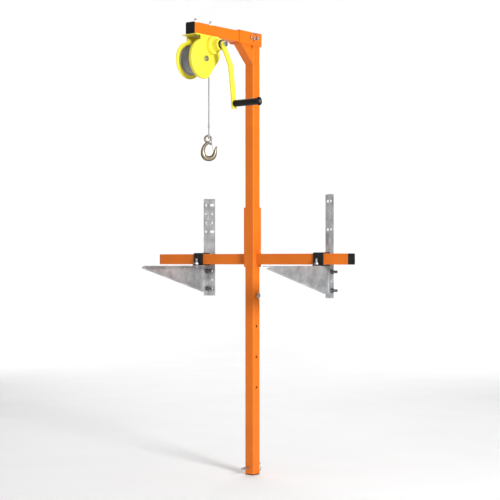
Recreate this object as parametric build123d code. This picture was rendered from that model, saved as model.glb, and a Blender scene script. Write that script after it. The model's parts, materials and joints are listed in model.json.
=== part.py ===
from build123d import *
from math import atan2, cos, degrees, pi, radians, sin, sqrt
import os

# A portable hoist that hangs on a pair of wall brackets: a square-tube mast with a jib and a hand
# winch, and a crossbar that two strap clamps hold down on the brackets' arms.
# Frame: origin at the centre of the mast's foot, +Z up the mast, X along the crossbar,
# -Y along the jib, away from the wall. Millimetres.

# ---- tube sections
MAST = 40.0
WALL = 2.5
SLEEVE = 48.0
SOCKET = 50.0
SOCKET_WALL = 3.6
JIB = 42.0
TUBE_CORNER = 3.5
SLIDE_GAP = 0.3

# ---- heights on the mast
LOWER_TOP = 928.0
UPPER_FOOT = 930.0
COLLAR_FOOT = 781.0
COLLAR_TOP = 841.2
SLEEVE_FOOT = 842.0
SLEEVE_TOP = 1004.0
SOCKET_Z = 1635.0
PIN_HOLE_R = 5.0
MAST_HOLE_FIRST = 328.0
MAST_HOLE_PITCH = 115.0
MAST_HOLES = 4
MAST_PIN_Z = MAST_HOLE_FIRST + (MAST_HOLES - 1) * MAST_HOLE_PITCH
FOOT_PIN_Z = 27.0

# ---- crossbar: set back from the mast's centre line, so that its back stands clear of the collar
BAR = 40.0
BAR_Z = 810.5
BAR_FRONT = -9.0
BAR_BACK = BAR_FRONT + BAR
BAR_LEFT = -469.0
BAR_RIGHT = 446.0
PLUG_HEAD = 3.0
PLUG_INSERT = 14.0
PLUG_WALL = 2.5
PLUG_FLOOR = 2.0

# ---- head socket, jib and brace
SOCKET_FRONT = -104.0
SOCKET_BACK = 24.0
SOCKET_PIN_Y = -24.0
JIB_TIP = -348.4
JIB_BACK = 16.0
BRACE_LEG = 67.0
BRACE_HOLE = (-27.0, 1602.0)
BRACE_HOLE_R = 3.5

# ---- linchpins
PIN_R = 4.9
PIN_HEAD_R = 7.0
PIN_HEAD_LENGTH = 11.0
PIN_HEAD_GAP = 0.4
BAIL_R = 21.0
SMALL_BAIL_R = 11.0
BAIL_WIRE_R = 1.6
BAIL_HOLE_R = 1.65
SOCKET_PIN_REACH = 12.0
MAST_PIN_REACH = 4.0
FOOT_PIN_REACH = 44.0

# ---- winch
DRUM_Y = -316.0
DRUM_Z = 1525.0
MODULE = 2.0
PINION_TEETH = 12
GEAR_TEETH = 50
CENTRES = MODULE * (PINION_TEETH + GEAR_TEETH) / 2
PINION_ANGLE = 54.8
PINION_Y = DRUM_Y + CENTRES * cos(radians(PINION_ANGLE))
PINION_Z = DRUM_Z + CENTRES * sin(radians(PINION_ANGLE))
PLATE_TOP = SOCKET_Z - JIB / 2
PLATE_T = 4.0
PLATE_FRONT = -350.0
PLATE_BACK = -226.0
CHEEK_T = 3.5
REAR_CHEEK_X = -39.0
FRONT_CHEEK_X = 25.5
COVER_X = FRONT_CHEEK_X + CHEEK_T
COVER_FACE_X = 41.0
BOSS_FACE_X = 59.0
NOSE_FACE_X = 85.5
NOSE_R = 21.0
COVER_T = 2.4
REAR_CHEEK_R = 67.0
COVER_R = 71.0
COVER_CUT_R = 58.0
COVER_CUT_ANGLE = -40.0
COVER_CUT_ROUND = 25.0
HEEL_R = 10.0
HEEL_Y = -241.0
HEEL_Z = 1539.7
BOSS_R = 32.0
NECK_FRONT = -326.0
NECK_BACK = -238.0
AXLE_R = 6.0
SHAFT_R = 6.0
BUSH_R = 9.0
RUNNING = 0.06
FLANGE_R = 54.0
FLANGE_T = 2.5
DRUM_LEFT = -32.0
DRUM_RIGHT = 23.5
DRUM_CORE_R = 22.0
DRUM_HUB_R = 14.0
WOUND_R = 48.0
GEAR_X = 31.0
GEAR_T = 7.0
WINCH_BOLTS_Y = (-321.0, -240.0)

# ---- brake and crank
RATCHET_X = 46.0
RATCHET_T = 6.0
RATCHET_R = 20.0
RATCHET_ROOT_R = 16.5
RATCHET_TEETH = 12
DISC_T = 2.0
DISC_R = 18.0
PAWL_ANGLE = 95.0
PAWL_PIVOT_R = 25.4
PAWL_PIVOT_Y = PINION_Y + PAWL_PIVOT_R * cos(radians(PAWL_ANGLE))
PAWL_PIVOT_Z = PINION_Z + PAWL_PIVOT_R * sin(radians(PAWL_ANGLE))
PAWL_OUTER_R = 28.0
PAWL_INNER_R = RATCHET_R + 0.5
PAWL_REACH = 42.0
PAWL_EYE_R = 3.6
PAWL_PIN_R = 1.8
PAWL_SIDE_GAP = 0.5
SPRING_R = 3.0
SPRING_BORE_R = 2.1
SPRING_LENGTH = 4.0
SPACER_X = 86.0
SPACER_R = 16.0
HUB_X = 92.0
HUB_R = 15.0
HUB_T = 9.0
ARM_T = 6.0
ARM_W = 22.0
ARM_TOP_X = 98.5
ARM_LOW_X = 121.0
ARM_BEND = 79.0
ARM_END = 232.0
CRANK_LENGTH = 213.0
CRANK_LEAN = 7.6
SHAFT_END_X = 112.0
GRIP_R = 12.0
GRIP_START_X = ARM_LOW_X + ARM_T / 2 + 0.6
GRIP_END_X = 239.0
GRIP_FLANGE_R = 15.0
GRIP_FLANGE_T = 5.0
SPINDLE_R = 4.0

# ---- rope and hook
ROPE_R = 2.5
ROPE_GAP = 0.3
ROPE_X = 14.0
ROPE_Y = DRUM_Y + WOUND_R + ROPE_GAP + ROPE_R
FERRULE_TOP = 1301.0
FERRULE_FOOT = 1283.0
EYE_Z = 1243.5
EYE_R = 11.5
EYE_BAR_R = 3.5
EYE_SHIFT = -3.0
LOOP_BEND_Z = 1252.0
LOOP_R = 7.3
LOOP_WAIST = 2.75
LOOP_STRAIGHT = 13.0
FERRULE_W = 13.4
FERRULE_T = 7.0
THIMBLE_T = 0.9
THIMBLE_W = 6.0
HOOK_TURN = 39.4
BOWL_Z = 1193.0
HOOK_TIP_R = 2.6
BOWL_R = 29.0
BOWL_INSET = 8.0
HOOK_T = 12.0
# the hook's half width at shares of the way from its neck to its tip
HOOK_WIDTHS = ((0, 5.0), (0.3, 7.8), (0.6, 9.4), (0.85, 6.3), (1, HOOK_TIP_R))
NECK_R = 5.2
LATCH_EYE_R = 4.4
LATCH_EYE_T = 8.0
LATCH_PIVOT = (5.5, 1233.0)
LATCH_TIP = (14.0, 1201.0)
LATCH_T = 1.6
LATCH_W = 15.0
LATCH_CHEEK_R = 4.5
LATCH_CHEEK_FOOT = -10.5
RIVET_R = 2.0
RIVET_HEAD_R = 3.4
RIVET_HEAD_T = 1.2

# ---- wall brackets and strap clamps
SHEET = 2.5
UPRIGHT_FOOT = 668.0
UPRIGHT_TOP = 1047.0
WEB_FRONT = BAR_BACK + SLIDE_GAP
WALL_Y = 59.0
FLANGE_W = 35.5
HOLE_ROW_TOP = 1022.0
HOLE_ROW_PITCH = 34.5
LOWER_ROW_TOP = 764.0
LOWER_ROW_PITCH = 34.0
WEB_HOLE_Y = 44.0
FLANGE_HOLE_IN = 18.5
SLOT_LENGTH = 24.0
SLOT_R = 5.0
END_HOLE_R = 6.0
ROW_HOLE_R = 4.5
LOWER_HOLE_R = 4.0
ARM_NOSE = -312.0
ARM_NOSE_FOOT = 776.0
ARM_ROOT_FOOT = 683.0
ARM_ROOT_Y = 24.0
ARM_BACK = 56.0
ARM_FLANGE_W = 40.0
ARM_FOLD_W = 14.0
STRAP_T = 4.0
STRAP_W = 44.0
STRAP_FOOT = BAR_Z - BAR / 2 - SLIDE_GAP - STRAP_T
STRAP_TOP = BAR_Z + BAR / 2 + SLIDE_GAP + STRAP_T
STRAP_FRONT = BAR_FRONT - SLIDE_GAP - STRAP_T
TONGUE_FRONT = -33.0
TONGUE_W = 26.0
CLAMP_BOLT_Y = -21.8
CLAMP_BOLT_R = 4.0
CLAMP_BOLT_TOP = 813.0
# each bracket: the face of its web that the nuts bear on, which way its wall flange and arm flange
# run, and the middle of its clamp
BRACKETS = {
    "left": {"web_face": -270.5, "flange_side": 1, "arm_side": 1, "clamp_x": -263.0},
    "right": {"web_face": 334.6, "flange_side": -1, "arm_side": -1, "clamp_x": 316.5},
}

# ---- fasteners: across flats and height of a hexagon
HEX_WINCH = (13.0, 6.0)
HEX_AXLE = (19.0, 9.0)
HEX_CRANK = (17.0, 8.0)
HEX_BRACKET = (16.0, 7.5)
HEX_CLAMP = (13.0, 6.5)
BOLT_R = 5.0
WINCH_BOLT_R = 4.0


def save(node, shape):
    """One STEP file per sub-part; a list of solids is one node of separate solids."""
    if isinstance(shape, list):
        shape = Compound(children=shape)
    export_step(shape, f"parts/{node}.step")


def block(x, y, z):
    """A box from three (low, high) pairs."""
    return Pos(sum(x) / 2, sum(y) / 2, sum(z) / 2) * Box(x[1] - x[0], y[1] - y[0], z[1] - z[0])


def rod_x(y, z, r, x0, x1):
    return Pos((x0 + x1) / 2, y, z) * Rot(0, 90, 0) * Cylinder(r, x1 - x0)


def rod_y(x, z, r, y0, y1):
    return Pos(x, (y0 + y1) / 2, z) * Rot(90, 0, 0) * Cylinder(r, y1 - y0)


def rod_z(x, y, r, z0, z1):
    return Pos(x, y, (z0 + z1) / 2) * Cylinder(r, z1 - z0)


def hexagon(across_flats, height):
    """A hexagonal prism standing on the XY plane."""
    return extrude(RegularPolygon(across_flats / 2, 6, major_radius=False), amount=height)


def hex_x(y, z, across_flats, x0, x1):
    return Pos(x0, y, z) * Rot(0, 90, 0) * hexagon(across_flats, x1 - x0)


def hex_z(x, y, across_flats, z0, z1):
    return Pos(x, y, z0) * hexagon(across_flats, z1 - z0)


def square_tube(size, wall, length, corner=TUBE_CORNER):
    """A square tube standing on the XY plane, with rounded corners."""
    outer = RectangleRounded(size, size, corner)
    inner = RectangleRounded(size - 2 * wall, size - 2 * wall, max(corner - wall, 1.0))
    return extrude(outer - inner, amount=length)


def tube_z(size, wall, z0, z1):
    return Pos(0, 0, z0) * square_tube(size, wall, z1 - z0)


def tube_x(size, wall, y, z, x0, x1):
    return Pos(x0, y, z) * Rot(0, 90, 0) * square_tube(size, wall, x1 - x0)


def tube_y(size, wall, z, y0, y1):
    return Pos(0, y0, z) * Rot(-90, 0, 0) * square_tube(size, wall, y1 - y0)


def end_plug(size, wall):
    """A plastic tube plug: its head stands on the XY plane's far side, its insert points up."""
    head = extrude(RectangleRounded(size, size, TUBE_CORNER), amount=-PLUG_HEAD)
    head = chamfer(head.faces().sort_by(Axis.Z)[0].edges(), 1.0)
    across = size - 2 * wall - 2 * SLIDE_GAP
    inside = across - 2 * PLUG_WALL
    insert = extrude(RectangleRounded(across, across, 1.5), amount=PLUG_INSERT)
    hollow = extrude(RectangleRounded(inside, inside, 1.0), amount=PLUG_INSERT)
    return head + insert - Pos(0, 0, PLUG_FLOOR) * hollow


def band(points, width):
    """A flat strip of even width along a line of (u, v) points, with mitred corners."""
    left, right = [], []
    for i, (u, v) in enumerate(points):
        before = points[i - 1] if i else None
        after = points[i + 1] if i + 1 < len(points) else None
        normals = []
        for a, b in ((before, (u, v)), ((u, v), after)):
            if a and b:
                du, dv = b[0] - a[0], b[1] - a[1]
                size = sqrt(du * du + dv * dv)
                normals.append((-dv / size, du / size))
        nu = sum(n[0] for n in normals) / len(normals)
        nv = sum(n[1] for n in normals) / len(normals)
        reach = width / 2 / (nu * nu + nv * nv)
        left.append((u + nu * reach, v + nv * reach))
        right.append((u - nu * reach, v - nv * reach))
    return make_face(Polyline(*left, *reversed(right), close=True))


def in_yz(sketch, x0, x1):
    """Extrudes a sketch drawn with Y to the right and Z up, from x0 to x1."""
    return extrude(Plane.YZ.offset(x0) * sketch, amount=x1 - x0)


# ------------------------------------------------------------------ mast and crossbar
def mast_lower_tube():
    tube = tube_z(MAST, WALL, PLUG_HEAD, LOWER_TOP)
    for i in range(MAST_HOLES):
        tube -= rod_x(0, MAST_HOLE_FIRST + i * MAST_HOLE_PITCH, PIN_HOLE_R, -MAST, MAST)
    return tube - rod_y(0, FOOT_PIN_Z, PIN_HOLE_R, -MAST, MAST)


def mast_foot_plug():
    return Pos(0, 0, PLUG_HEAD) * end_plug(MAST, WALL)


def mast_upper_tube():
    return tube_z(MAST, WALL, UPPER_FOOT, SOCKET_Z - SOCKET / 2)


def mast_sleeve():
    """Welded on the upper tube; below, it slides over the lower one."""
    outer = extrude(RectangleRounded(SLEEVE, SLEEVE, TUBE_CORNER), amount=SLEEVE_TOP - SLEEVE_FOOT)
    outer = Pos(0, 0, SLEEVE_FOOT) * outer
    tight, loose = MAST / 2, MAST / 2 + SLIDE_GAP
    outer -= block((-tight, tight), (-tight, tight), (UPPER_FOOT, SLEEVE_TOP))
    return outer - block((-loose, loose), (-loose, loose), (SLEEVE_FOOT, UPPER_FOOT))


def crossbar_collar():
    wall = (SLEEVE - MAST) / 2 - SLIDE_GAP
    return tube_z(SLEEVE, wall, COLLAR_FOOT, COLLAR_TOP)


def crossbar_tubes():
    """Two lengths of tube, each welded to one side of the collar."""
    y = (BAR_FRONT + BAR_BACK) / 2
    return [
        tube_x(BAR, WALL, y, BAR_Z, BAR_LEFT, -SLEEVE / 2),
        tube_x(BAR, WALL, y, BAR_Z, SLEEVE / 2, BAR_RIGHT),
    ]


def crossbar_end_plugs():
    y = (BAR_FRONT + BAR_BACK) / 2
    left = Pos(BAR_LEFT, y, BAR_Z) * Rot(0, 90, 0) * end_plug(BAR, WALL)
    right = Pos(BAR_RIGHT, y, BAR_Z) * Rot(0, -90, 0) * end_plug(BAR, WALL)
    return [left, right]


def head_socket():
    socket = tube_y(SOCKET, SOCKET_WALL, SOCKET_Z, SOCKET_FRONT, SOCKET_BACK)
    return socket - rod_x(SOCKET_PIN_Y, SOCKET_Z, PIN_HOLE_R, -SOCKET, SOCKET)


def corner_brace():
    """A tube at 45 degrees, cut flush with the mast's front face and the socket's underside."""
    corner_y, corner_z = -MAST / 2, SOCKET_Z - SOCKET / 2
    inset = MAST / 2 / sqrt(2)
    y = corner_y - BRACE_LEG / 2 + inset
    z = corner_z - BRACE_LEG / 2 + inset
    length = 3 * BRACE_LEG
    tube = Pos(0, y, z) * Rot(45, 0, 0) * Pos(0, 0, -length / 2) * square_tube(MAST, WALL, length)
    wide = (-MAST, MAST)
    tube -= block(wide, (corner_y, corner_y + length), (corner_z - length, corner_z + length))
    tube -= rod_x(*BRACE_HOLE, BRACE_HOLE_R, -MAST, MAST)
    return tube - block(wide, (corner_y - length, corner_y + 1), (corner_z, corner_z + length))


def jib_tube():
    tube = tube_y(JIB, WALL, SOCKET_Z, JIB_TIP, JIB_BACK)
    tube -= rod_x(SOCKET_PIN_Y, SOCKET_Z, PIN_HOLE_R, -SOCKET, SOCKET)
    for y in WINCH_BOLTS_Y:
        tube -= rod_z(0, y, WINCH_BOLT_R + SLIDE_GAP, SOCKET_Z - JIB, SOCKET_Z + JIB)
    return tube


def jib_end_plug():
    return Pos(0, JIB_TIP, SOCKET_Z) * Rot(-90, 0, 0) * end_plug(JIB, WALL)


# ------------------------------------------------------------------ linchpins
def linchpin(tip, seat):
    """A pin along Z: its head bears at seat, above, its chamfered tip is at tip, below. A cross
    hole in the head, along X, holds the bail."""
    shank = rod_z(0, 0, PIN_R, tip, seat + PIN_HEAD_GAP)
    shank = chamfer(shank.edges().sort_by(Axis.Z)[0], 1.5)
    head = rod_z(0, 0, PIN_HEAD_R, seat + PIN_HEAD_GAP, seat + PIN_HEAD_GAP + PIN_HEAD_LENGTH)
    head = chamfer(head.edges().sort_by(Axis.Z)[-1], 1.5)
    hole_z = bail_height(seat)
    return shank + head - Pos(0, 0, hole_z) * Rot(0, 90, 0) * Cylinder(BAIL_HOLE_R, 4 * PIN_HEAD_R)


def bail_height(seat):
    """Where the bail's straight side passes through the head."""
    return seat + PIN_HEAD_GAP + PIN_HEAD_LENGTH / 2


def bail(r):
    """A wire bent to a D: the straight side along X, through the pin's head, the arc towards +Y."""
    side = Rot(0, 90, 0) * Cylinder(BAIL_WIRE_R, 2 * r)
    ring = Torus(r, BAIL_WIRE_R) & block((-2 * r, 2 * r), (0, 2 * r), (-r, r))
    return side + ring + Pos(-r, 0, 0) * Sphere(BAIL_WIRE_R) + Pos(r, 0, 0) * Sphere(BAIL_WIRE_R)


# Each pin's frame: +Z along the pin to its head, +X along the bail's straight side.
SOCKET_PIN = Plane(origin=(0, SOCKET_PIN_Y, SOCKET_Z), x_dir=(0, 1, 0), z_dir=(1, 0, 0))
MAST_PIN = Plane(origin=(0, 0, MAST_PIN_Z), x_dir=(0, 0, 1), z_dir=(1, 0, 0))
FOOT_PIN = Plane(origin=(0, 0, FOOT_PIN_Z), x_dir=(0, 0, 1), z_dir=(0, 1, 0))


def socket_pin():
    return SOCKET_PIN * linchpin(-SOCKET / 2 - SOCKET_PIN_REACH, SOCKET / 2)


def socket_pin_bail():
    """It stands up round the head."""
    return SOCKET_PIN * (Pos(0, 0, bail_height(SOCKET / 2)) * bail(BAIL_R))


def mast_pin():
    return MAST_PIN * linchpin(-MAST / 2 - MAST_PIN_REACH, MAST / 2)


def mast_pin_bail():
    """A small one, that stands straight out from the mast."""
    return MAST_PIN * (Pos(0, 0, bail_height(MAST / 2)) * Rot(90, 0, 0) * bail(SMALL_BAIL_R))


def foot_pin():
    """Its head is behind the mast, its tip stands out in front."""
    return FOOT_PIN * linchpin(-MAST / 2 - FOOT_PIN_REACH, MAST / 2)


def foot_pin_bail():
    return FOOT_PIN * (Pos(0, 0, bail_height(MAST / 2)) * bail(BAIL_R))


# ------------------------------------------------------------------ winch frame
def cover_outline(inset):
    """The shape that the front cheek and its cover share: round below and in front of the drum, cut
    straight below the brake. It is drawn smaller all round by the inset."""
    disc = Pos(DRUM_Y, DRUM_Z) * Circle(COVER_R - inset)
    heel = Pos(HEEL_Y, HEEL_Z) * Circle(HEEL_R - inset)
    brake = Pos(PINION_Y, PINION_Z) * Circle(BOSS_R + 1 - inset)
    outline = make_hull(disc.edges() + heel.edges() + brake.edges())
    off_cut = Pos(COVER_CUT_R - inset + COVER_R, 0) * Rectangle(2 * COVER_R, 6 * COVER_R)
    outline -= Pos(DRUM_Y, DRUM_Z) * Rot(0, 0, COVER_CUT_ANGLE) * off_cut
    lowest = outline.vertices().sort_by(Axis.Y)[0]
    return fillet(lowest, COVER_CUT_ROUND)


def neck():
    return Pos((NECK_FRONT + NECK_BACK) / 2, (DRUM_Z + PLATE_TOP) / 2) * Rectangle(
        NECK_BACK - NECK_FRONT, PLATE_TOP - DRUM_Z
    )


def winch_frame():
    """One sheet bent to a U: the plate under the jib, and a cheek down each side of the drum."""
    rear = neck() + Pos(DRUM_Y, DRUM_Z) * Circle(REAR_CHEEK_R)
    front = neck() + cover_outline(1)
    x1 = FRONT_CHEEK_X + CHEEK_T
    frame = block((REAR_CHEEK_X, x1), (PLATE_FRONT, PLATE_BACK), (PLATE_TOP - PLATE_T, PLATE_TOP))
    frame += in_yz(rear, REAR_CHEEK_X, REAR_CHEEK_X + CHEEK_T)
    frame += in_yz(front, FRONT_CHEEK_X, x1)
    for y in WINCH_BOLTS_Y:
        frame -= rod_z(0, y, WINCH_BOLT_R + SLIDE_GAP, PLATE_TOP - 2 * PLATE_T, PLATE_TOP + 1)
    frame -= rod_x(DRUM_Y, DRUM_Z, AXLE_R, REAR_CHEEK_X - 1, 0)
    frame -= rod_x(DRUM_Y, DRUM_Z, DRUM_HUB_R + 1, 0, x1 + 1)
    frame -= rod_x(PINION_Y, PINION_Z, BUSH_R, REAR_CHEEK_X - 1, x1 + 1)
    return frame


def gear_cover():
    """A dished cover over the gears, with the brake's round boss on it."""
    cover = in_yz(cover_outline(0), COVER_X, COVER_FACE_X)
    rim = cover.faces().filter_by(Plane.YZ).sort_by(Axis.X)[-1].edges()
    cover = fillet(rim, 3.5)
    boss = rod_x(PINION_Y, PINION_Z, BOSS_R, COVER_X + 4, BOSS_FACE_X)
    nose = rod_x(PINION_Y, PINION_Z, NOSE_R, BOSS_FACE_X - 2, NOSE_FACE_X)
    cover += fillet(boss.edges().sort_by(Axis.X)[-1], 6.0)
    cover += fillet(nose.edges().sort_by(Axis.X)[-1], 4.0)
    cover -= in_yz(cover_outline(COVER_T), COVER_X, COVER_FACE_X - COVER_T)
    cover -= rod_x(PINION_Y, PINION_Z, BOSS_R - COVER_T, COVER_X, BOSS_FACE_X - COVER_T)
    cover -= rod_x(DRUM_Y, DRUM_Z, AXLE_R, COVER_X, COVER_FACE_X + 1)
    return cover - rod_x(PINION_Y, PINION_Z, SHAFT_R + 5.5, COVER_X, NOSE_FACE_X + 1)


def drum_axle():
    return rod_x(DRUM_Y, DRUM_Z, AXLE_R, REAR_CHEEK_X - 12, COVER_FACE_X + 12)


def drum_axle_nuts():
    across, height = HEX_AXLE
    rear = hex_x(DRUM_Y, DRUM_Z, across, REAR_CHEEK_X - height, REAR_CHEEK_X)
    front = hex_x(DRUM_Y, DRUM_Z, across, COVER_FACE_X, COVER_FACE_X + height)
    bore = rod_x(DRUM_Y, DRUM_Z, AXLE_R, REAR_CHEEK_X - 20, COVER_FACE_X + 20)
    return [rear - bore, front - bore]


def pinion_bushes():
    """Flanged bushes pressed into the two cheeks."""
    bushes = []
    for x0, flange_x in ((REAR_CHEEK_X, REAR_CHEEK_X - 1.5), (FRONT_CHEEK_X, FRONT_CHEEK_X - 1.5)):
        bush = rod_x(PINION_Y, PINION_Z, BUSH_R, x0, x0 + CHEEK_T)
        bush += rod_x(PINION_Y, PINION_Z, BUSH_R + 2, flange_x, flange_x + 1.5)
        bushes.append(bush - rod_x(PINION_Y, PINION_Z, SHAFT_R + RUNNING, x0 - 9, x0 + 9))
    return bushes


def winch_bolts():
    across, height = HEX_WINCH
    bolts = []
    for y in WINCH_BOLTS_Y:
        foot = PLATE_TOP - PLATE_T
        bolt = hex_z(0, y, across, foot - height, foot)
        bolts.append(bolt + rod_z(0, y, WINCH_BOLT_R, foot - 1, SOCKET_Z + JIB / 2 + 18))
    return bolts


def winch_nuts():
    across, height = HEX_WINCH
    nuts = []
    for y in WINCH_BOLTS_Y:
        top = SOCKET_Z + JIB / 2
        nut = rod_z(0, y, across / 2 + 0.5, top, top + 1.5) + hex_z(0, y, across, top + 1.5, top + height)
        nuts.append(nut - rod_z(0, y, WINCH_BOLT_R, top - 1, top + height + 1))
    return nuts


# ------------------------------------------------------------------ drum and gears
def spur_gear(teeth, bore, turn, x0, x1, y, z):
    """Straight-sided teeth with backlash; a tooth's middle stands at the angle turn, from +Y."""
    pitch_r = MODULE * teeth / 2
    step = 2 * pi / teeth
    tip_r, root_r = pitch_r + 0.85 * MODULE, pitch_r - 1.2 * MODULE
    points = []
    for i in range(teeth):
        middle = radians(turn) + i * step
        for r, share in ((root_r, -0.31), (pitch_r, -0.205), (tip_r, -0.10),
                         (tip_r, 0.10), (pitch_r, 0.205), (root_r, 0.31)):
            points.append((r * cos(middle + share * step), r * sin(middle + share * step)))
    gear = in_yz(Pos(y, z) * make_face(Polyline(*points, close=True)), x0, x1)
    return gear - rod_x(y, z, bore, x0 - 1, x1 + 1)


def drum():
    """Core tube, its hub through the front cheek, and two flanges."""
    body = rod_x(DRUM_Y, DRUM_Z, DRUM_CORE_R, DRUM_LEFT, DRUM_RIGHT)
    body += rod_x(DRUM_Y, DRUM_Z, DRUM_HUB_R, DRUM_RIGHT - 1, GEAR_X + GEAR_T)
    body += rod_x(DRUM_Y, DRUM_Z, FLANGE_R, DRUM_LEFT, DRUM_LEFT + FLANGE_T)
    body += rod_x(DRUM_Y, DRUM_Z, FLANGE_R, DRUM_RIGHT - FLANGE_T, DRUM_RIGHT)
    return body - rod_x(DRUM_Y, DRUM_Z, BUSH_R, DRUM_LEFT - 1, GEAR_X + GEAR_T + 1)


def drum_bushes():
    length = 12.0
    bushes = []
    for x0 in (DRUM_LEFT, GEAR_X + GEAR_T - length):
        bush = rod_x(DRUM_Y, DRUM_Z, BUSH_R, x0, x0 + length)
        bushes.append(bush - rod_x(DRUM_Y, DRUM_Z, AXLE_R + RUNNING, x0 - 1, x0 + length + 1))
    return bushes


def drum_gear():
    return spur_gear(GEAR_TEETH, DRUM_HUB_R, PINION_ANGLE, GEAR_X, GEAR_X + GEAR_T, DRUM_Y, DRUM_Z)


def wound_rope():
    """The rope's turns on the drum, as their outer shape."""
    x0, x1 = DRUM_LEFT + FLANGE_T, DRUM_RIGHT - FLANGE_T
    turns = rod_x(DRUM_Y, DRUM_Z, WOUND_R, x0, x1)
    return turns - rod_x(DRUM_Y, DRUM_Z, DRUM_CORE_R, x0 - 1, x1 + 1)


# ------------------------------------------------------------------ brake, crank and grip
def pinion_shaft():
    return rod_x(PINION_Y, PINION_Z, SHAFT_R, REAR_CHEEK_X - 6, SHAFT_END_X)


def pinion_gear():
    """A gap between two of its teeth faces the drum gear's tooth."""
    half_step = 180 / PINION_TEETH
    turn = PINION_ANGLE + 180 + half_step
    return spur_gear(PINION_TEETH, SHAFT_R, turn, GEAR_X, GEAR_X + GEAR_T, PINION_Y, PINION_Z)


def ratchet_wheel():
    step = 2 * pi / RATCHET_TEETH
    points = []
    for i in range(RATCHET_TEETH):
        a = i * step
        points.append((RATCHET_R * cos(a), RATCHET_R * sin(a)))
        points.append((RATCHET_ROOT_R * cos(a), RATCHET_ROOT_R * sin(a)))
    wheel = in_yz(
        Pos(PINION_Y, PINION_Z) * make_face(Polyline(*points, close=True)),
        RATCHET_X,
        RATCHET_X + RATCHET_T,
    )
    return wheel - rod_x(PINION_Y, PINION_Z, SHAFT_R, RATCHET_X - 1, RATCHET_X + RATCHET_T + 1)


def brake_discs():
    discs = []
    for x0 in (RATCHET_X - DISC_T, RATCHET_X + RATCHET_T):
        disc = rod_x(PINION_Y, PINION_Z, DISC_R, x0, x0 + DISC_T)
        discs.append(disc - rod_x(PINION_Y, PINION_Z, SHAFT_R, x0 - 1, x0 + DISC_T + 1))
    return discs


def pawl():
    """A short lever that lies along the ratchet's rim, its nose on a tooth's crest."""
    ring = Circle(PAWL_OUTER_R) - Circle(PAWL_INNER_R)
    wedge = [(0, 0)]
    for turn in (0, PAWL_REACH / 2, PAWL_REACH):
        a = radians(PAWL_ANGLE - turn)
        wedge.append((2 * PAWL_OUTER_R * cos(a), 2 * PAWL_OUTER_R * sin(a)))
    lever = Pos(PINION_Y, PINION_Z) * (ring & make_face(Polyline(*wedge, close=True)))
    lever += Pos(PAWL_PIVOT_Y, PAWL_PIVOT_Z) * Circle(PAWL_EYE_R)
    x0, x1 = RATCHET_X + PAWL_SIDE_GAP, RATCHET_X + RATCHET_T - PAWL_SIDE_GAP
    return in_yz(lever, x0, x1) - rod_x(PAWL_PIVOT_Y, PAWL_PIVOT_Z, PAWL_PIN_R + RUNNING, x0 - 1, x1 + 1)


def pawl_pin():
    return rod_x(PAWL_PIVOT_Y, PAWL_PIVOT_Z, PAWL_PIN_R, COVER_X, RATCHET_X + RATCHET_T + 2)


def pawl_spring():
    """The torsion spring's coil, round the pawl's pin."""
    x0 = RATCHET_X - SPRING_LENGTH
    coil = rod_x(PAWL_PIVOT_Y, PAWL_PIVOT_Z, SPRING_R, x0, RATCHET_X)
    return coil - rod_x(PAWL_PIVOT_Y, PAWL_PIVOT_Z, SPRING_BORE_R, x0 - 1, RATCHET_X + 1)


def brake_spacer():
    ring = rod_x(PINION_Y, PINION_Z, SPACER_R, SPACER_X, HUB_X)
    return ring - rod_x(PINION_Y, PINION_Z, SHAFT_R, SPACER_X - 1, HUB_X + 1)


def crank_hub():
    """The long boss that drives the brake, and the round seat of the crank arm."""
    x0 = RATCHET_X + RATCHET_T + DISC_T
    hub = rod_x(PINION_Y, PINION_Z, SHAFT_R + 5, x0, SPACER_X)
    seat = rod_x(PINION_Y, PINION_Z, HUB_R, HUB_X, ARM_TOP_X - ARM_T / 2)
    bore = rod_x(PINION_Y, PINION_Z, SHAFT_R, x0 - 1, HUB_X + HUB_T)
    return [hub - bore, seat - bore]


def crank_turned(shape):
    """Turns a piece drawn with the crank hanging straight down to the crank's own lean."""
    return Pos(0, PINION_Y, PINION_Z) * Rot(CRANK_LEAN, 0, 0) * shape


def crank_arm():
    """A flat bar, cranked outwards below the hub. Drawn down from the shaft's centre."""
    points = [
        (ARM_TOP_X, ARM_W / 2),
        (ARM_TOP_X, -HUB_R),
        (ARM_LOW_X, -ARM_BEND),
        (ARM_LOW_X, -ARM_END),
    ]
    strip = Plane.XZ.offset(-ARM_W / 2) * band(points, ARM_T)
    arm = extrude(strip, amount=ARM_W)
    # the ends are rounded across the bar's width
    round_r = ARM_W / 2
    top = block((ARM_TOP_X - 9, ARM_TOP_X + 9), (-round_r, round_r), (0, 2 * round_r))
    foot = block((ARM_LOW_X - 9, ARM_LOW_X + 9), (-ARM_W, ARM_W), (-ARM_END - 1, -ARM_END + 5))
    arm -= top - rod_x(0, 0, round_r, ARM_TOP_X - 9, ARM_TOP_X + 9)
    arm -= foot - rod_x(0, -ARM_END + 18, 19.5, ARM_LOW_X - 9, ARM_LOW_X + 9)
    arm -= rod_x(0, 0, SHAFT_R, ARM_TOP_X - 9, ARM_TOP_X + 9)
    arm -= rod_x(0, -CRANK_LENGTH, SPINDLE_R, ARM_LOW_X - 9, ARM_LOW_X + 9)
    return crank_turned(arm)


def crank_nut():
    across, height = HEX_CRANK
    x0 = ARM_TOP_X + ARM_T / 2
    nut = hex_x(PINION_Y, PINION_Z, across, x0, x0 + height)
    return nut - rod_x(PINION_Y, PINION_Z, SHAFT_R, x0 - 1, x0 + height + 1)


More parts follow.
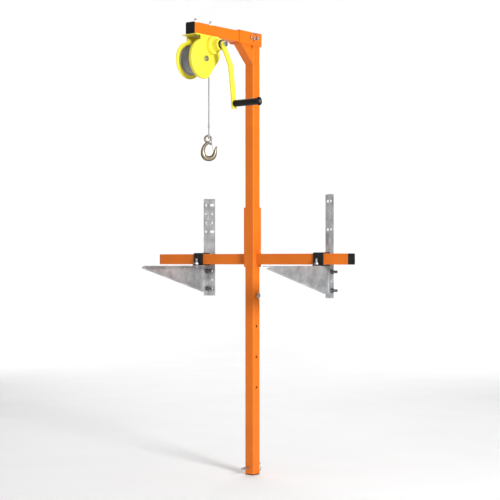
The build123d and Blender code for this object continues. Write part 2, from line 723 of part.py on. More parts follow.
def grip_spindle():
    """A long bolt: riveted over behind the arm, with a round head at the grip's end."""
    x0 = ARM_LOW_X - ARM_T / 2
    spindle = rod_x(0, -CRANK_LENGTH, SPINDLE_R, x0 - 4, GRIP_END_X + 1)
    spindle += rod_x(0, -CRANK_LENGTH, SPINDLE_R + 3.5, x0 - 4, x0)
    spindle += rod_x(0, -CRANK_LENGTH, SPINDLE_R + 2.5, GRIP_END_X + 0.6, GRIP_END_X + 4.5)
    return crank_turned(spindle)


def grip():
    body = rod_x(0, -CRANK_LENGTH, GRIP_R, GRIP_START_X, GRIP_END_X)
    body = fillet(body.edges().sort_by(Axis.X)[0], 2.0)
    flange = rod_x(0, -CRANK_LENGTH, GRIP_FLANGE_R, GRIP_END_X - GRIP_FLANGE_T, GRIP_END_X)
    body += fillet(flange.edges(), 1.5)
    bore = rod_x(0, -CRANK_LENGTH, SPINDLE_R + RUNNING, GRIP_START_X - 1, GRIP_END_X + 1)
    return crank_turned(body - bore)


# ------------------------------------------------------------------ rope and hook
# The loop of rope and the hook are drawn upright in the XZ plane through the rope's line, with
# X across the hook, then turned about that line. The loop stands square to the hook.
def on_rope(shape, turn):
    return Pos(ROPE_X, ROPE_Y, 0) * Rot(0, 0, turn) * shape


def rope_hanging():
    return rod_z(ROPE_X, ROPE_Y, ROPE_R, FERRULE_TOP, DRUM_Z)


def loop_path():
    """The rope's line round the thimble, from the ferrule and back to it."""
    bend = LOOP_BEND_Z
    shoulder = bend + LOOP_STRAIGHT
    start = Line((LOOP_WAIST, 0, FERRULE_FOOT), (LOOP_R, 0, shoulder))
    down = Line((LOOP_R, 0, shoulder), (LOOP_R, 0, bend))
    turn = ThreePointArc((LOOP_R, 0, bend), (0, 0, bend - LOOP_R), (-LOOP_R, 0, bend))
    up = Line((-LOOP_R, 0, bend), (-LOOP_R, 0, shoulder))
    back = Line((-LOOP_R, 0, shoulder), (-LOOP_WAIST, 0, FERRULE_FOOT))
    return Wire([start, down, turn, up, back])


def rope_eye():
    path = loop_path()
    section = Plane(origin=path @ 0, z_dir=path % 0) * Circle(ROPE_R)
    loop = sweep(section, path=path, transition=Transition.ROUND)
    trim = block((-20, 20), (-20, 20), (FERRULE_FOOT, FERRULE_FOOT + 20))
    return on_rope(loop - trim, HOOK_TURN + 90)


def rope_ferrule():
    """The pressed sleeve that holds the rope's loop closed."""
    sleeve = extrude(SlotOverall(FERRULE_W, FERRULE_T), amount=FERRULE_TOP - FERRULE_FOOT)
    sleeve = chamfer(sleeve.faces().filter_by(Axis.Z).edges(), 0.8)
    return on_rope(Pos(0, 0, FERRULE_FOOT) * sleeve, HOOK_TURN + 90)


def rope_thimble():
    """The steel gutter inside the rope's loop."""
    bend = LOOP_BEND_Z
    outer_r = LOOP_R - ROPE_R - 0.1
    inner_r = outer_r - THIMBLE_T
    leg = LOOP_STRAIGHT - 1
    wide = Pos(0, bend) * Circle(outer_r) + Pos(0, bend + leg / 2) * Rectangle(2 * outer_r, leg)
    hollow = Pos(0, bend) * Circle(inner_r) + Pos(0, bend + leg) * Rectangle(2 * inner_r, 2 * leg)
    strip = extrude(Plane.XZ.offset(-THIMBLE_W / 2) * (wide - hollow), amount=THIMBLE_W)
    return on_rope(strip, HOOK_TURN + 90)


def hook():
    """A forged hook, swept along its middle line: thin at the neck and tip, deep in the bowl."""
    neck_z = EYE_Z - EYE_R - 3
    centre_r = BOWL_R - BOWL_INSET
    side = centre_r * cos(radians(45))
    path = Spline(
        (EYE_SHIFT, 0, neck_z),
        (-centre_r, 0, BOWL_Z),
        (-side, 0, BOWL_Z - side),
        (0, 0, BOWL_Z - centre_r + 1),
        (side, 0, BOWL_Z - side),
        (centre_r + 1, 0, BOWL_Z),
        (BOWL_R - 1, 0, BOWL_Z + 22),
    )
    sections = []
    for share, wide in HOOK_WIDTHS:
        plane = Plane(origin=path @ share, x_dir=(0, 1, 0), z_dir=path % share)
        sections.append(plane * Ellipse(min(HOOK_T / 2, wide + 0.4), wide))
    body = sweep(sections, path=path, multisection=True)
    body += Pos(*(path @ 1)) * Sphere(HOOK_TIP_R)
    body += Pos(EYE_SHIFT, 0, neck_z) * Sphere(NECK_R)
    body += Pos(EYE_SHIFT, 0, EYE_Z) * Rot(90, 0, 0) * Torus(EYE_R, EYE_BAR_R)
    px, pz = LATCH_PIVOT
    body += Pos(px, 0, pz) * Rot(90, 0, 0) * Cylinder(LATCH_EYE_R, LATCH_EYE_T)
    body += block((EYE_SHIFT, px), (-LATCH_EYE_T / 2, LATCH_EYE_T / 2), (pz - LATCH_EYE_R, pz))
    bore = Pos(px, 0, pz) * Rot(90, 0, 0) * Cylinder(RIVET_R, 30)
    return on_rope(body - bore, HOOK_TURN)


def latch_rivet():
    reach = LATCH_W / 2 + RIVET_HEAD_T
    rivet = Rot(90, 0, 0) * Cylinder(RIVET_R, 2 * reach)
    for side in (-1, 1):
        middle = side * (reach - RIVET_HEAD_T / 2 + 0.3)
        rivet += Pos(0, middle, 0) * Rot(90, 0, 0) * Cylinder(RIVET_HEAD_R, RIVET_HEAD_T)
    return on_rope(Pos(LATCH_PIVOT[0], 0, LATCH_PIVOT[1]) * rivet, HOOK_TURN)


def hook_latch():
    """A folded sheet: two cheeks on the rivet and a tongue that reaches the hook's tip."""
    px, pz = LATCH_PIVOT
    tx, tz = LATCH_TIP
    length = sqrt((tx - px) ** 2 + (tz - pz) ** 2)
    r = LATCH_CHEEK_R
    cheek = Circle(r) + Pos(0, LATCH_CHEEK_FOOT / 2) * Rectangle(2 * r, -LATCH_CHEEK_FOOT)
    half = LATCH_W / 2
    front = (r - LATCH_T, r)
    body = block(front, (-half, half), (LATCH_CHEEK_FOOT, LATCH_CHEEK_FOOT / 2))
    body += block(front, (-r, r), (-length, LATCH_CHEEK_FOOT + 1))
    for side in (-1, 1):
        middle = side * (half - LATCH_T / 2)
        body += Pos(0, middle, 0) * extrude(Plane.XZ * cheek, amount=LATCH_T / 2, both=True)
    body -= Rot(90, 0, 0) * Cylinder(RIVET_R + RUNNING, 2 * LATCH_W)
    swing = degrees(atan2(tx - 2.0 - px, pz - tz))
    return on_rope(Pos(px, 0, pz) * Rot(0, -swing, 0) * body, HOOK_TURN)


# ------------------------------------------------------------------ wall brackets and clamps
def upright(web_face, side):
    """An angle section: the web stands out from the wall, the wall flange runs to one side."""
    web_x = (web_face - SHEET, web_face)
    heights = (UPRIGHT_FOOT, UPRIGHT_TOP)
    if side > 0:
        flange_x = (web_x[0], web_x[0] + FLANGE_W)
    else:
        flange_x = (web_x[1] - FLANGE_W, web_x[1])
    body = block(web_x, (WEB_FRONT, WALL_Y), heights)
    body += block(flange_x, (WALL_Y - SHEET, WALL_Y), heights)
    hole_x = web_face + side * FLANGE_HOLE_IN
    through_web = (web_face - 9, web_face + 9)
    through_wall = (WALL_Y - 9, WALL_Y + 9)
    for i in range(4):
        z = HOLE_ROW_TOP - i * HOLE_ROW_PITCH
        if i in (0, 3):
            slot = Pos(hole_x, z) * SlotOverall(SLOT_LENGTH, 2 * SLOT_R)
            body -= extrude(Plane.XZ.offset(-WALL_Y - 1) * slot, amount=SHEET + 2)
            body -= rod_x(WEB_HOLE_Y, z, END_HOLE_R, *through_web)
        else:
            body -= rod_y(hole_x, z, ROW_HOLE_R, *through_wall)
            body -= rod_x(WEB_HOLE_Y, z, ROW_HOLE_R, *through_web)
    for i in range(3):
        z = LOWER_ROW_TOP - i * LOWER_ROW_PITCH
        body -= rod_y(hole_x, z, LOWER_HOLE_R, *through_wall)
        body -= rod_x(WEB_HOLE_Y, z, LOWER_HOLE_R if i == 1 else BOLT_R, *through_web)
    return body


def bracket_arm(web_face, side):
    """A folded triangle: upright plate on the web's left face, top flange, and a folded lower edge."""
    plate_x = (web_face - 2 * SHEET, web_face - SHEET)
    top = STRAP_FOOT
    outline = [
        (ARM_NOSE + 12, top),
        (ARM_BACK, top),
        (ARM_BACK, ARM_ROOT_FOOT),
        (ARM_ROOT_Y, ARM_ROOT_FOOT),
        (ARM_NOSE, ARM_NOSE_FOOT),
        (ARM_NOSE, top - 4),
    ]
    body = in_yz(make_face(Polyline(*outline, close=True)), *plate_x)
    if side > 0:
        wide, narrow = (plate_x[0], plate_x[0] + ARM_FLANGE_W), (plate_x[0], plate_x[0] + ARM_FOLD_W)
    else:
        wide, narrow = (plate_x[1] - ARM_FLANGE_W, plate_x[1]), (plate_x[1] - ARM_FOLD_W, plate_x[1])
    body += block(wide, (ARM_NOSE + 12, WEB_FRONT - 3), (top - SHEET, top))
    drop = ARM_NOSE_FOOT - ARM_ROOT_FOOT
    run = ARM_ROOT_Y - ARM_NOSE
    rise = SHEET * sqrt(drop * drop + run * run) / run
    fold = Polyline(
        (ARM_NOSE, ARM_NOSE_FOOT),
        (ARM_ROOT_Y, ARM_ROOT_FOOT),
        (ARM_ROOT_Y, ARM_ROOT_FOOT + rise),
        (ARM_NOSE, ARM_NOSE_FOOT + rise),
        close=True,
    )
    body += in_yz(make_face(fold), *narrow)
    for i in (0, 2):
        z = LOWER_ROW_TOP - i * LOWER_ROW_PITCH
        body -= rod_x(WEB_HOLE_Y, z, BOLT_R, plate_x[0] - 1, plate_x[1] + 1)
    return body


def arm_with_bolt_hole(web_face, side, clamp_x):
    hole = rod_z(clamp_x, CLAMP_BOLT_Y, CLAMP_BOLT_R, STRAP_FOOT - 2 * SHEET, STRAP_FOOT + 1)
    return bracket_arm(web_face, side) - hole


def bracket_bolts(web_face):
    """Two bolts through arm and web; the heads are on the arm's side, the nuts on the web's face."""
    across, height = HEX_BRACKET
    arm_x = web_face - 2 * SHEET
    bolts = []
    for i in (0, 2):
        z = LOWER_ROW_TOP - i * LOWER_ROW_PITCH
        bolt = hex_x(WEB_HOLE_Y, z, across, arm_x - height + 1, arm_x)
        bolt += rod_x(WEB_HOLE_Y, z, BOLT_R, arm_x - 1, web_face + 25)
        bolts.append(bolt + hex_x(WEB_HOLE_Y, z, across, web_face, web_face + height))
    return bolts


def clamp_strap(clamp_x):
    """A strap bent round the crossbar's top, front and underside, with a tongue for its bolt."""
    x = (clamp_x - STRAP_W / 2, clamp_x + STRAP_W / 2)
    outer = block(x, (STRAP_FRONT, BAR_BACK), (STRAP_FOOT, STRAP_TOP))
    bends = outer.edges().filter_by(Axis.X).group_by(Axis.Y)[0].sort_by(Axis.Z)[-1]
    outer = fillet(bends, STRAP_T)
    inner = block(
        (x[0] - 1, x[1] + 1),
        (STRAP_FRONT + STRAP_T, BAR_BACK + 1),
        (STRAP_FOOT + STRAP_T, STRAP_TOP - STRAP_T),
    )
    half = TONGUE_W / 2
    tongue = block(
        (clamp_x - half, clamp_x + half), (TONGUE_FRONT, STRAP_FRONT + 1), (STRAP_FOOT, STRAP_FOOT + STRAP_T)
    )
    tongue = fillet(tongue.edges().filter_by(Axis.Z).group_by(Axis.Y)[0], 6.0)
    hole = rod_z(clamp_x, CLAMP_BOLT_Y, CLAMP_BOLT_R, STRAP_FOOT - 1, STRAP_FOOT + STRAP_T + 1)
    return outer - inner + tongue - hole


def clamp_bolt(clamp_x):
    across, height = HEX_CLAMP
    foot = STRAP_FOOT - SHEET
    bolt = hex_z(clamp_x, CLAMP_BOLT_Y, across, foot - height, foot)
    shank = rod_z(clamp_x, CLAMP_BOLT_Y, CLAMP_BOLT_R, foot - 1, CLAMP_BOLT_TOP)
    return bolt + chamfer(shank.edges().sort_by(Axis.Z)[-1], 1.2)


def clamp_nut(clamp_x):
    across, height = HEX_CLAMP
    foot = STRAP_FOOT + STRAP_T + SLIDE_GAP
    nut = rod_z(clamp_x, CLAMP_BOLT_Y, across / 2 + 1, foot, foot + 1.2)
    nut += hex_z(clamp_x, CLAMP_BOLT_Y, across, foot + 1.2, foot + height)
    return nut - rod_z(clamp_x, CLAMP_BOLT_Y, CLAMP_BOLT_R + RUNNING, foot - 1, foot + height + 1)


PIECES = [
    mast_lower_tube, mast_foot_plug, mast_upper_tube, mast_sleeve, crossbar_collar, crossbar_tubes,
    crossbar_end_plugs, head_socket, corner_brace, jib_tube, jib_end_plug, socket_pin,
    socket_pin_bail, mast_pin,
    mast_pin_bail, foot_pin, foot_pin_bail, winch_frame, gear_cover, drum_axle, drum_axle_nuts,
    pinion_bushes, winch_bolts, winch_nuts, drum, drum_bushes, drum_gear, wound_rope, pinion_shaft,
    pinion_gear, ratchet_wheel, brake_discs, pawl, pawl_pin, pawl_spring, brake_spacer, crank_hub,
    crank_arm, crank_nut, grip_spindle, grip, rope_hanging, rope_eye, rope_ferrule, rope_thimble,
    hook, latch_rivet, hook_latch,
]

os.makedirs("parts", exist_ok=True)
for piece in PIECES:
    save(piece.__name__, piece())
for hand, place in BRACKETS.items():
    save(f"{hand}_upright", upright(place["web_face"], place["flange_side"]))
    save(f"{hand}_arm", arm_with_bolt_hole(place["web_face"], place["arm_side"], place["clamp_x"]))
    save(f"{hand}_bracket_bolts", bracket_bolts(place["web_face"]))
    save(f"{hand}_clamp_strap", clamp_strap(place["clamp_x"]))
    save(f"{hand}_clamp_bolt", clamp_bolt(place["clamp_x"]))
    save(f"{hand}_clamp_nut", clamp_nut(place["clamp_x"]))
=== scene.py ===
import json
import math

import bpy
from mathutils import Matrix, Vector


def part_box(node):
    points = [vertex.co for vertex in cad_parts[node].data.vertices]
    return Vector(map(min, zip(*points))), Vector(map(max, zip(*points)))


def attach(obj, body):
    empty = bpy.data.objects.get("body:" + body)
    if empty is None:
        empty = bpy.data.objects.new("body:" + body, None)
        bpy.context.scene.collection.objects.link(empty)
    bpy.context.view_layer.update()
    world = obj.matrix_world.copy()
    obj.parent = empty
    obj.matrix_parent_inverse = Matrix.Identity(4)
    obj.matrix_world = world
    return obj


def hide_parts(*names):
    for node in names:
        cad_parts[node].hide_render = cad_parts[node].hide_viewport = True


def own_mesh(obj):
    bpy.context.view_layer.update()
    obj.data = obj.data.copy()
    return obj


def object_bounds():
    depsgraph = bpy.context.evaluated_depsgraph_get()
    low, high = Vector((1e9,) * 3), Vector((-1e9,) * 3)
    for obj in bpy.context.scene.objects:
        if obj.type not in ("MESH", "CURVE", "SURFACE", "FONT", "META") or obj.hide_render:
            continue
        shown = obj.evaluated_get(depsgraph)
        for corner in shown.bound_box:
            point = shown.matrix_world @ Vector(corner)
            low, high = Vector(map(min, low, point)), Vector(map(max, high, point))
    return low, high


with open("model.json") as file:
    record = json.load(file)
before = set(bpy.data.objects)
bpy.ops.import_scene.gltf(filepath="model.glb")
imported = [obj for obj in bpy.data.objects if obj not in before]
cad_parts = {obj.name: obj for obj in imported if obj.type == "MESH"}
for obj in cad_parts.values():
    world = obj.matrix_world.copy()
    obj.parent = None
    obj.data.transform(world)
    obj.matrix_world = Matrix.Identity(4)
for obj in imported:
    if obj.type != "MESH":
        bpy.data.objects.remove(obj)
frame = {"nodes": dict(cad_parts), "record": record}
nodes = frame["nodes"]
cad_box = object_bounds()
MM = 0.001


# ------------------------------------------------------------------ materials
class Shader:
    """A node material that starts as one Principled shader. Textures use object coordinates,
    in metres."""

    def __init__(self, name, metallic=0.0, roughness=0.5):
        self.material = bpy.data.materials.new(name)
        self.material.use_nodes = True
        self.tree = self.material.node_tree
        self.principled = self.tree.nodes["Principled BSDF"]
        self.principled.inputs["Metallic"].default_value = metallic
        self.principled.inputs["Roughness"].default_value = roughness
        coordinates = self.add("ShaderNodeTexCoord")
        self.place = coordinates.outputs["Object"]
        self.normal = coordinates.outputs["Normal"]

    def add(self, kind, **values):
        node = self.tree.nodes.new(kind)
        for name, value in values.items():
            node.inputs[name].default_value = value
        return node

    def link(self, source, target):
        self.tree.links.new(source, target)

    def stretched(self, scale):
        """The place, scaled by axis, for brushed or banded textures."""
        mapping = self.add("ShaderNodeMapping", Scale=scale)
        self.link(self.place, mapping.inputs["Vector"])
        return mapping.outputs["Vector"]

    def noise(self, scale, detail=4.0, place=None):
        node = self.add("ShaderNodeTexNoise", Scale=scale, Detail=detail)
        self.link(place or self.place, node.inputs["Vector"])
        return node.outputs["Fac"]

    def cells(self, scale):
        node = self.add("ShaderNodeTexVoronoi", Scale=scale)
        self.link(self.place, node.inputs["Vector"])
        return node.outputs["Color"]

    def bands(self, axis, pitch):
        """Even ridges along one axis, such as a thread or a grip's ribs."""
        node = self.add("ShaderNodeTexWave", Scale=2 * math.pi / pitch / 20)
        node.bands_direction = axis
        self.link(self.place, node.inputs["Vector"])
        return node.outputs["Fac"]

    def colour(self, factor, *stops):
        """Base colour along a ramp of (position, colour) stops."""
        ramp = self.ramp(factor, *stops)
        self.link(ramp, self.principled.inputs["Base Color"])
        return ramp

    def ramp(self, factor, *stops):
        node = self.add("ShaderNodeValToRGB")
        node.color_ramp.elements[0].position = stops[0][0]
        node.color_ramp.elements[0].color = (*stops[0][1], 1)
        node.color_ramp.elements[1].position = stops[-1][0]
        node.color_ramp.elements[1].color = (*stops[-1][1], 1)
        for position, colour in stops[1:-1]:
            node.color_ramp.elements.new(position).color = (*colour, 1)
        self.link(factor, node.inputs["Fac"])
        return node.outputs["Color"]

    def multiply(self, a, b):
        """One colour times another."""
        mix = self.add("ShaderNodeMix")
        mix.data_type = "RGBA"
        mix.blend_type = "MULTIPLY"
        mix.inputs["Factor"].default_value = 1.0
        self.link(a, mix.inputs["A"])
        self.link(b, mix.inputs["B"])
        return mix.outputs["Result"]

    def rough(self, factor, low, high):
        node = self.add("ShaderNodeMapRange", **{"To Min": low, "To Max": high})
        self.link(factor, node.inputs["Value"])
        self.link(node.outputs["Result"], self.principled.inputs["Roughness"])

    def bump(self, *layers):
        """Layers of (height factor, strength, depth in metres), one on another."""
        normal = None
        for factor, strength, depth in layers:
            node = self.add("ShaderNodeBump", Strength=strength, Distance=depth)
            self.link(factor, node.inputs["Height"])
            if normal:
                self.link(normal, node.inputs["Normal"])
            normal = node.outputs["Normal"]
        self.link(normal, self.principled.inputs["Normal"])


def shade(colour, factor):
    return tuple(min(c * factor, 1.0) for c in colour)


def powder_coat(name, colour, roughness=0.42):
    """Sprayed paint: a fine orange-peel surface, slightly uneven in tone."""
    s = Shader(name, roughness=roughness)
    cloud = s.noise(9.0, 3.0)
    s.colour(cloud, (0.3, shade(colour, 0.93)), (0.55, colour), (0.75, shade(colour, 1.05)))
    s.rough(s.noise(140.0), roughness - 0.06, roughness + 0.10)
    s.bump((s.noise(1100.0, 2.0), 0.25, 0.00006), (s.noise(60.0), 0.12, 0.0002))
    s.principled.inputs["Specular IOR Level"].default_value = 0.3
    return s.material


def galvanised(name, light=0.62):
    """Zinc-coated sheet: a faint spangle of a few millimetres, clouds of dull oxide, and a rolled
    grain."""
    s = Shader(name, metallic=0.85)
    clouds = s.noise(24.0, 6.0)
    tone = (light * 0.98, light, light * 1.02)
    patchy = s.ramp(clouds, (0.3, shade(tone, 0.72)), (0.5, tone), (0.72, shade(tone, 1.30)))
    spangle = s.ramp(s.cells(220.0), (0.1, (0.88, 0.88, 0.88)), (0.9, (1.0, 1.0, 1.0)))
    s.link(s.multiply(patchy, spangle), s.principled.inputs["Base Color"])
    s.rough(s.noise(45.0), 0.38, 0.58)
    grain = s.noise(60.0, 6.0, s.stretched((1, 1, 14)))
    s.bump((grain, 0.12, 0.0001))
    return s.material


def plated(name, tone, roughness=0.24, thread=None):
    """Plated or turned steel, with fine turning marks, and a thread where one is named."""
    s = Shader(name, metallic=1.0)
    film = s.noise(160.0)
    s.colour(film, (0.3, shade(tone, 0.82)), (0.7, shade(tone, 1.08)))
    s.rough(s.noise(420.0), roughness - 0.06, roughness + 0.14)
    marks = (s.noise(900.0, 2.0), 0.12, 0.00005)
    if thread:
        s.bump((s.bands(thread, 1.25 * MM), 0.9, 0.0004), marks)
    else:
        s.bump(marks)
    return s.material


def moulded(name, tone, roughness, ribs=None):
    """Black plastic or rubber, finely textured."""
    s = Shader(name)
    s.principled.inputs["Specular IOR Level"].default_value = 0.25
    s.colour(s.noise(35.0), (0.3, shade(tone, 0.8)), (0.7, shade(tone, 1.5)))
    s.rough(s.noise(240.0), roughness - 0.08, roughness + 0.12)
    fine = (s.noise(1500.0, 2.0), 0.25, 0.00008)
    if ribs:
        s.bump((s.bands("X", ribs), 0.35, 0.0004), fine)
    else:
        s.bump(fine)
    return s.material


def wire(name, tone):
    """Drawn rope wire, a little dark between its strands."""
    s = Shader(name, metallic=0.35)
    s.colour(s.noise(500.0), (0.3, shade(tone, 0.75)), (0.7, shade(tone, 1.1)))
    s.rough(s.noise(300.0), 0.35, 0.55)
    s.bump((s.noise(2200.0, 3.0, s.stretched((1, 1, 0.25))), 0.4, 0.0001))
    return s.material


def forged(name, dark, light, facing):
    """Yellow-passivated zinc over a forged surface, mottled. Its broad faces, which look along facing,
    get a painted highlight, and its edges get painted shade."""
    s = Shader(name, metallic=0.7)
    mottle = s.noise(75.0, 6.0)
    towards = s.add("ShaderNodeVectorMath")
    towards.operation = "DOT_PRODUCT"
    towards.inputs[1].default_value = facing
    s.link(s.normal, towards.inputs[0])
    breadth = s.add("ShaderNodeMath")
    breadth.operation = "ABSOLUTE"
    s.link(towards.outputs["Value"], breadth.inputs[0])
    # painted highlight on faces turned along facing, fading to painted shade round the edges
    painted_highlight_and_edge_shade = s.ramp(breadth.outputs["Value"], (0.66, dark), (0.88, shade(light, 0.45)), (0.985, light))
    patches = s.ramp(mottle, (0.32, (0.72, 0.68, 0.62)), (0.70, (1.0, 1.0, 1.0)))
    s.link(s.multiply(painted_highlight_and_edge_shade, patches), s.principled.inputs["Base Color"])
    s.rough(s.noise(160.0), 0.30, 0.50)
    s.bump((s.noise(320.0), 0.35, 0.0002), (mottle, 0.15, 0.0004))
    return s.material


ORANGE = (0.78, 0.170, 0.007)
YELLOW = (0.84, 0.73, 0.055)
materials = {
    "orange_paint": powder_coat("orange_paint", ORANGE),
    "yellow_paint": powder_coat("yellow_paint", YELLOW, 0.36),
    "black_plastic": moulded("black_plastic", (0.006, 0.006, 0.006), 0.45),
    "black_grip": moulded("black_grip", (0.005, 0.005, 0.005), 0.42, ribs=4 * MM),
    "black_steel": powder_coat("black_steel", (0.009, 0.009, 0.010), 0.42),
    "galvanised": galvanised("galvanised"),
    "bright_zinc": plated("bright_zinc", (0.58, 0.58, 0.60), 0.3),
    "machined_steel": plated("machined_steel", (0.52, 0.52, 0.54), 0.32),
    "brass_bush": plated("brass_bush", (0.72, 0.50, 0.20), 0.30),
    "friction": moulded("friction", (0.13, 0.07, 0.04), 0.75),
    "rope_steel": wire("rope_steel", (0.40, 0.40, 0.41)),
    # facing is the camera's line of sight: the hook's faces turned to the camera get a painted
    # highlight, and its edges painted shade
    "hook_zinc": forged("hook_zinc", (0.05, 0.033, 0.018), (0.46, 0.39, 0.28), (-0.635, 0.773, 0.0)),
}
threaded = {
    "X": plated("zinc_thread_x", (0.20, 0.20, 0.21), 0.34, thread="X"),
    "Z": plated("zinc_thread_z", (0.66, 0.66, 0.68), 0.28, thread="Z"),
}


def finish_with(obj, material):
    obj.data.materials.clear()
    obj.data.materials.append(material)


slot_of = {entry["node"]: entry["material_slot"] for entry in frame["record"]["subparts"]}
for name, obj in nodes.items():
    finish_with(obj, materials[slot_of[name]])
for hand in ("left", "right"):
    finish_with(nodes[f"{hand}_bracket_bolts"], threaded["X"])
    finish_with(nodes[f"{hand}_clamp_bolt"], threaded["Z"])
finish_with(nodes["winch_bolts"], threaded["Z"])
finish_with(nodes["hook_latch"], plated("latch_zinc", (0.30, 0.29, 0.21), 0.36))


# ------------------------------------------------------------------ new pieces
def mesh_piece(name, vertices, faces, body, material, slot):
    mesh = bpy.data.meshes.new(name)
    mesh.from_pydata(vertices, [], faces)
    mesh.update()
    for polygon in mesh.polygons:
        polygon.use_smooth = True
    obj = bpy.data.objects.new(name, mesh)
    bpy.context.scene.collection.objects.link(obj)
    finish_with(obj, material)
    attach(obj, body)
    return obj


def tube(points, radius, sides=8):
    """(vertices, faces) of a closed round tube along the points. radius is a number, or a
    function of the point's index."""
    vertices, faces = [], []
    side = None
    for i, point in enumerate(points):
        ahead = points[min(i + 1, len(points) - 1)] - points[max(i - 1, 0)]
        ahead.normalize()
        if side is None:
            side = ahead.orthogonal().normalized()
        side = (side - ahead * side.dot(ahead)).normalized()
        up = ahead.cross(side)
        r = radius(i) if callable(radius) else radius
        for k in range(sides):
            a = 2 * math.pi * k / sides
            vertices.append(point + side * (r * math.cos(a)) + up * (r * math.sin(a)))
        if i:
            base = len(vertices) - 2 * sides
            for k in range(sides):
                n = (k + 1) % sides
                faces.append((base + k, base + n, base + sides + n, base + sides + k))
    faces.append(tuple(reversed(range(sides))))
    faces.append(tuple(range(len(vertices) - sides, len(vertices))))
    return vertices, faces


def join(parts):
    vertices, faces = [], []
    for new_vertices, new_faces in parts:
        base = len(vertices)
        vertices += new_vertices
        faces += [tuple(base + i for i in face) for face in new_faces]
    return vertices, faces


STRANDS = 6
LAY = 26 * MM


def laid_rope(points, radius, sides=6):
    """Six strands twisted round the line through the points."""
    core = radius / 3
    run = [0.0]
    for a, b in zip(points, points[1:]):
        run.append(run[-1] + (b - a).length)
    lines = [[] for _ in range(STRANDS)]
    side = None
    for i, point in enumerate(points):
        ahead = points[min(i + 1, len(points) - 1)] - points[max(i - 1, 0)]
        ahead.normalize()
        if side is None:
            side = ahead.orthogonal().normalized()
        side = (side - ahead * side.dot(ahead)).normalized()
        up = ahead.cross(side)
        for k in range(STRANDS):
            a = 2 * math.pi * (k / STRANDS + run[i] / LAY)
            lines[k].append(point + (side * math.cos(a) + up * math.sin(a)) * (2 * core))
    return join([tube(line, core * 1.06, sides) for line in lines])


# the hanging rope: straight, from the drum's tangent down to the pressed sleeve
low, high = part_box("rope_hanging")
ROPE_R = (high.x - low.x) / 2
rope_x, rope_y = (low.x + high.x) / 2, (low.y + high.y) / 2
hang = high.z - low.z
HANG_STEPS = 120
line = [Vector((rope_x, rope_y, high.z - hang * i / HANG_STEPS)) for i in range(HANG_STEPS + 1)]
rope = mesh_piece(
    "rope_strands", *laid_rope(line, ROPE_R), "crane_frame", materials["rope_steel"], "rope_steel"
)
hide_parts("rope_hanging")
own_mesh(rope)

# the rope on the drum: a full layer, and a second one begun on it that leads to the hanging part
low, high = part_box("wound_rope")
drum_y, drum_z = (low.y + high.y) / 2, (low.z + high.z) / 2
layer_r = (high.z - low.z) / 2 - ROPE_R
PITCH = 2 * ROPE_R + 0.05 * MM
TURN_STEPS = 90
COIL_STRAND_SIDES = 5
CORE_SIDES = 48
SECOND_LAYER_TURNS = 3.4
SECOND_LAYER_LEAD = 0.6


def coil(radius, x_start, turns, direction, lead=0.0):
    """A helix about the drum's axis that starts on the side towards the mast. lead is how many
    pitches more it crosses in its first half turn."""
    points = []
    for i in range(int(turns * TURN_STEPS) + 1):
        turn = i / TURN_STEPS
        a = 2 * math.pi * turn
        x = x_start + direction * PITCH * (turn + lead * min(2 * turn, 1.0))
        points.append(Vector((x, drum_y + radius * math.cos(a), drum_z + radius * math.sin(a))))
    return points


inner = coil(layer_r, low.x + ROPE_R, (high.x - low.x - 2 * ROPE_R) / PITCH, 1)
# the second layer crosses quickly at first, so that it stays clear of the hanging rope's top
# when the drum turns
outer = coil(rope_y - drum_y, rope_x, SECOND_LAYER_TURNS, -1, lead=SECOND_LAYER_LEAD)
layers = [laid_rope(path, ROPE_R, COIL_STRAND_SIDES) for path in (inner, outer)]
core_r = layer_r - 0.4 * ROPE_R
core = tube([Vector((x, drum_y, drum_z)) for x in (low.x, high.x)], core_r, CORE_SIDES)
wound = mesh_piece(
    "rope_turns",
    *join([*layers, core]),
    "drum",
    materials["rope_steel"],
    "rope_steel",
)
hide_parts("wound_rope")


# where a square's corner begins, as (|x| + |y|) / half, and how hard it is pulled in from there
CORNER_START = 1.75
CORNER_PULL = 1.6


def square_loop(half, z, inset=2.5 * MM, count=60):
    """Points round a square tube's outside, at one height, with its corners eased."""
    corners = [(half, half), (-half, half), (-half, -half), (half, -half), (half, half)]
    points = []
    for (x0, y0), (x1, y1) in zip(corners, corners[1:]):
        for i in range(count):
            t = i / count
            x, y = x0 + (x1 - x0) * t, y0 + (y1 - y0) * t
            into_corner = max(0.0, (abs(x) + abs(y)) / half - CORNER_START)
            eased = 1 - inset / half * into_corner * CORNER_PULL
            points.append(Vector((x * eased, y * eased, z)))
    return points


def weld(name, points, radius):
    """A bead with the ripples of a hand weld, painted over."""
    def ripple(i):
        return radius * (1 + 0.16 * math.sin(i * 0.9) + 0.07 * math.sin(i * 0.37))

    mesh_piece(name, *tube(points, ripple, 8), "crane_frame", materials["orange_paint"], "orange_paint")


def face_loop(x, y_low, y_high, z_low, z_high, count=50):
    """Points round a rectangle that stands square to X."""
    corners = [(y_low, z_low), (y_high, z_low), (y_high, z_high), (y_low, z_high), (y_low, z_low)]
    points = []
    for (y0, z0), (y1, z1) in zip(corners, corners[1:]):
        points += [
            Vector((x, y0 + (y1 - y0) * i / count, z0 + (z1 - z0) * i / count)) for i in range(count)
        ]
    return points


BEAD = 1.7 * MM
upper_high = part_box("mast_upper_tube")[1]
sleeve_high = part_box("mast_sleeve")[1]
collar_low, collar_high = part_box("crossbar_collar")
bar_low, bar_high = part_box("crossbar_tubes")
weld("weld_sleeve", square_loop(upper_high.x, sleeve_high.z), BEAD)
weld("weld_socket", square_loop(upper_high.x, upper_high.z), BEAD)
for side, x in (("left", collar_low.x), ("right", collar_high.x)):
    loop = face_loop(x, bar_low.y, collar_high.y - BEAD, bar_low.z, bar_high.z)
    weld(f"weld_bar_{side}", loop, BEAD)

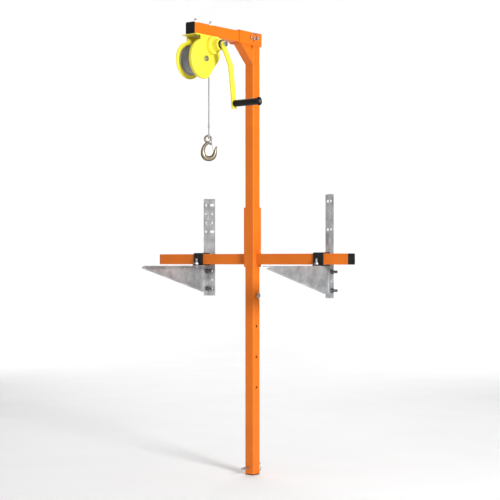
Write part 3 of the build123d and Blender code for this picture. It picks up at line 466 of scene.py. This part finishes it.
# ------------------------------------------------------------------ floor, light and camera
# the camera: degrees round from the front, metres away, metres up, and its lens in millimetres
AZIMUTH = 39.37
DISTANCE = 4.968
EYE_HEIGHT = 0.804
LENS = 94.88
SENSOR = 36
SHIFT_X = -0.0049
SHIFT_Y = 0.0217
FLOOR_Z = cad_box[0][2] - 1 * MM
floor_material = Shader("floor", roughness=0.9)
floor_material.colour(floor_material.noise(3.0), (0.3, (0.93, 0.93, 0.93)), (0.7, (0.96, 0.96, 0.96)))


def cyclorama():
    """A pale floor that curves up into a pale wall, far behind the object."""
    wide, front, back, bend, tall = 14.0, -9.0, 6.0, 3.0, 9.0
    bend_steps = 24
    profile = [(front, 0.0), (back, 0.0)]
    for i in range(1, bend_steps + 1):
        a = math.radians(90 * i / bend_steps)
        profile.append((back + bend * math.sin(a), bend * (1 - math.cos(a))))
    profile.append((back + bend, tall))
    vertices = [(x, y, FLOOR_Z + z) for y, z in profile for x in (-wide, wide)]
    faces = [(2 * i, 2 * i + 1, 2 * i + 3, 2 * i + 2) for i in range(len(profile) - 1)]
    mesh = bpy.data.meshes.new("floor")
    mesh.from_pydata(vertices, [], faces)
    for polygon in mesh.polygons:
        polygon.use_smooth = True
    obj = bpy.data.objects.new("floor", mesh)
    bpy.context.scene.collection.objects.link(obj)
    finish_with(obj, floor_material.material)
    obj.rotation_euler.z = math.radians(AZIMUTH)


cyclorama()

world = bpy.data.worlds.new("studio")
bpy.context.scene.world = world
world.use_nodes = True
world.node_tree.nodes["Background"].inputs["Color"].default_value = (1.0, 1.0, 1.0, 1)
world.node_tree.nodes["Background"].inputs["Strength"].default_value = 0.18


def area_light(name, position, target, size, power):
    light = bpy.data.lights.new(name, "AREA")
    light.size = size
    light.energy = power
    obj = bpy.data.objects.new(name, light)
    obj.location = position
    obj.rotation_euler = (Vector(target) - Vector(position)).to_track_quat("-Z", "Y").to_euler()
    bpy.context.scene.collection.objects.link(obj)


# name, position, the point it faces, side in metres, watts
LIGHTS = (
    ("key", (4.9, -1.9, 2.2), (0, 0, 0.9), 1.2, 300),
    ("fill", (-3.6, -4.6, 1.5), (0, 0, 0.9), 2.6, 22),
    ("top", (0.5, -0.5, 4.5), (0, 0, 0.9), 3.0, 40),
    ("floor_light", (-1.6, 2.0, 3.4), (-1.6, 2.0, 0), 3.0, 60),
    ("backdrop_left", (-7.0, 2.5, 2.5), (-4.5, 9.0, 1.5), 4.0, 120),
    ("backdrop_right", (-0.4, 6.0, 3.4), (-4.5, 9.0, 1.0), 2.4, 120),
)
for light in LIGHTS:
    area_light(*light)

azimuth = math.radians(AZIMUTH)
camera_data = bpy.data.cameras.new("camera")
camera_data.lens = LENS
camera_data.sensor_width = SENSOR
camera_data.shift_x = SHIFT_X
camera_data.shift_y = SHIFT_Y
camera = bpy.data.objects.new("camera", camera_data)
camera.location = (DISTANCE * math.sin(azimuth), -DISTANCE * math.cos(azimuth), EYE_HEIGHT)
camera.rotation_euler = (math.radians(90), 0, azimuth)
bpy.context.scene.collection.objects.link(camera)
bpy.context.scene.camera = camera
bpy.context.scene.view_settings.view_transform = "Standard"
bpy.context.scene.view_settings.look = "None"
